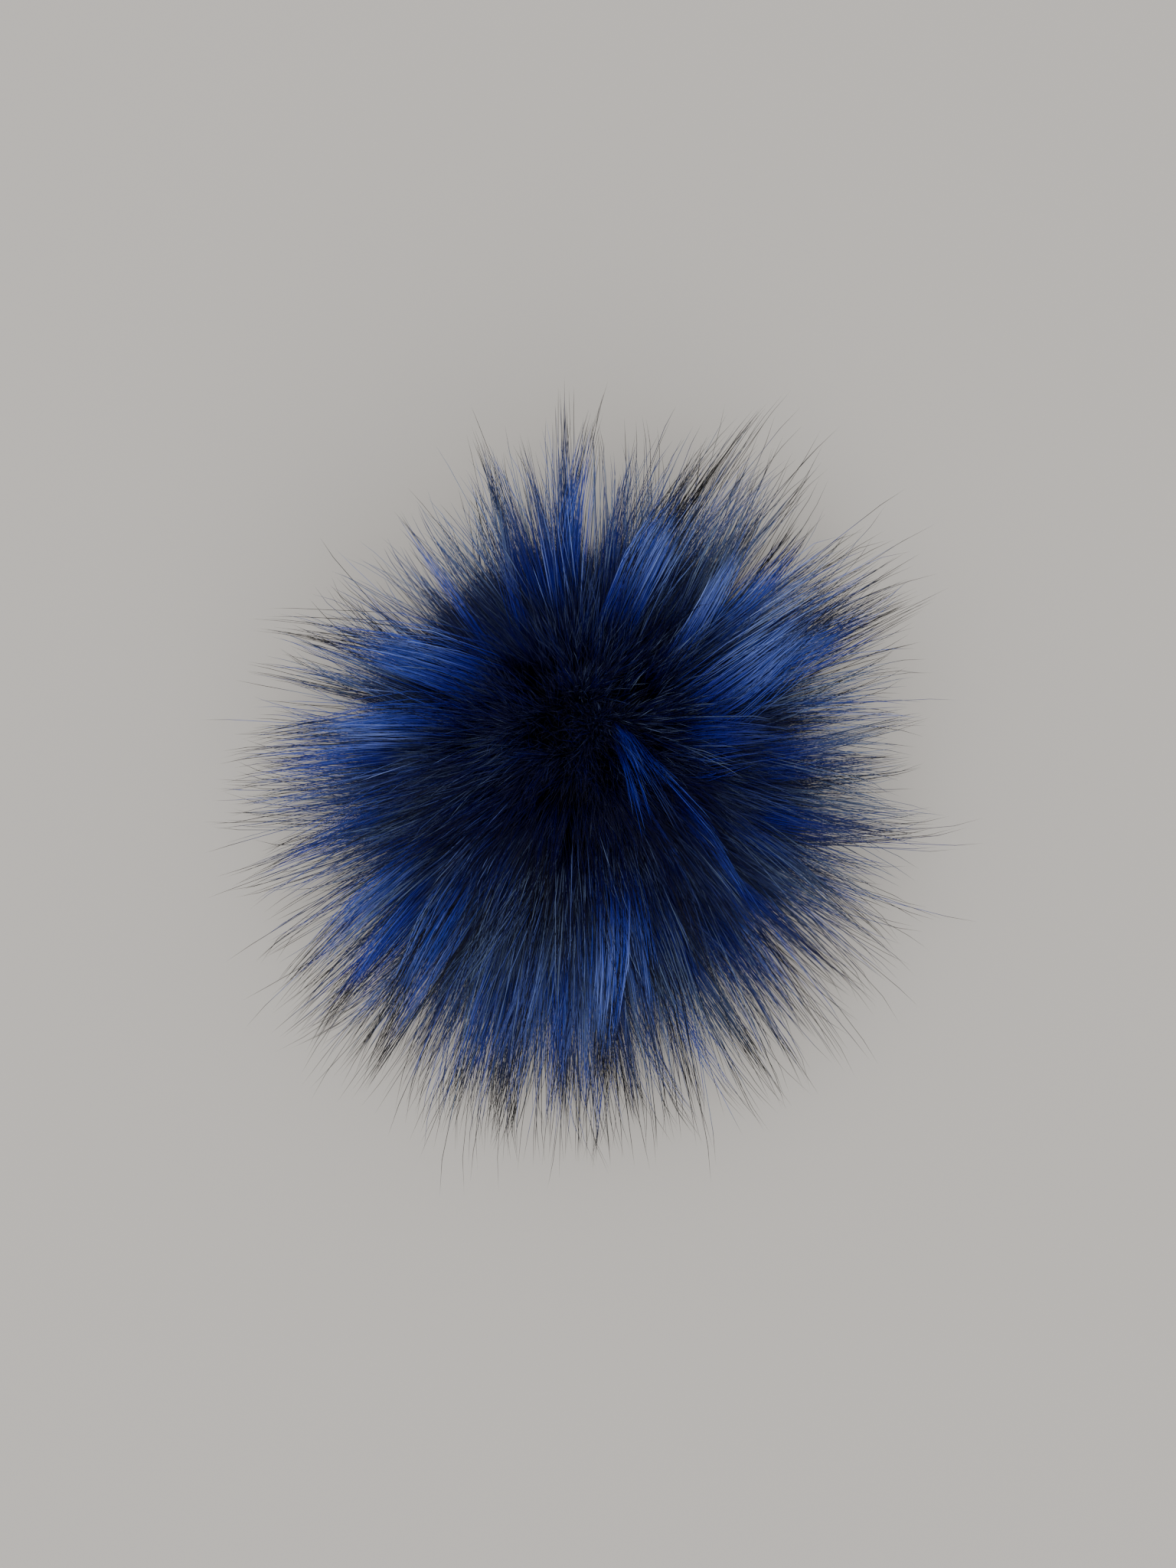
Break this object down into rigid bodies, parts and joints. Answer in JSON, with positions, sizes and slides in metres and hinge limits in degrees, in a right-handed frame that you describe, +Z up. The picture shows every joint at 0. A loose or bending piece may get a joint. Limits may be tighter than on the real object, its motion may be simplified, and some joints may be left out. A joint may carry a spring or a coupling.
{
  "type": "faux-fur pom pom",
  "caption": "Round faux-fur pom pom of long pile in pointed locks, resting on the flat spot of its gathered underside.",
  "frame": {"origin": "middle of the flat spot that the gathered ball of backing rests on, level with the surface below", "axes": "+Z up out of the crown of the pile, -Z out of the flat spot, +Y towards the top of the view from above"},
  "size_m": [0.154, 0.1519, 0.0737],
  "materials": {
    "royal_blue_pile": "glossy guard hairs of royal blue modacrylic with black tips, over a navy underfur",
    "navy_underfur": "soft fine navy underfur, nearly black at its roots",
    "black_knit_backing": "black knitted polyester backing, matte"
  },
  "bodies": {
    "root": {"fur_pom_pom": "royal_blue_pile"}
  },
  "joints": []
}
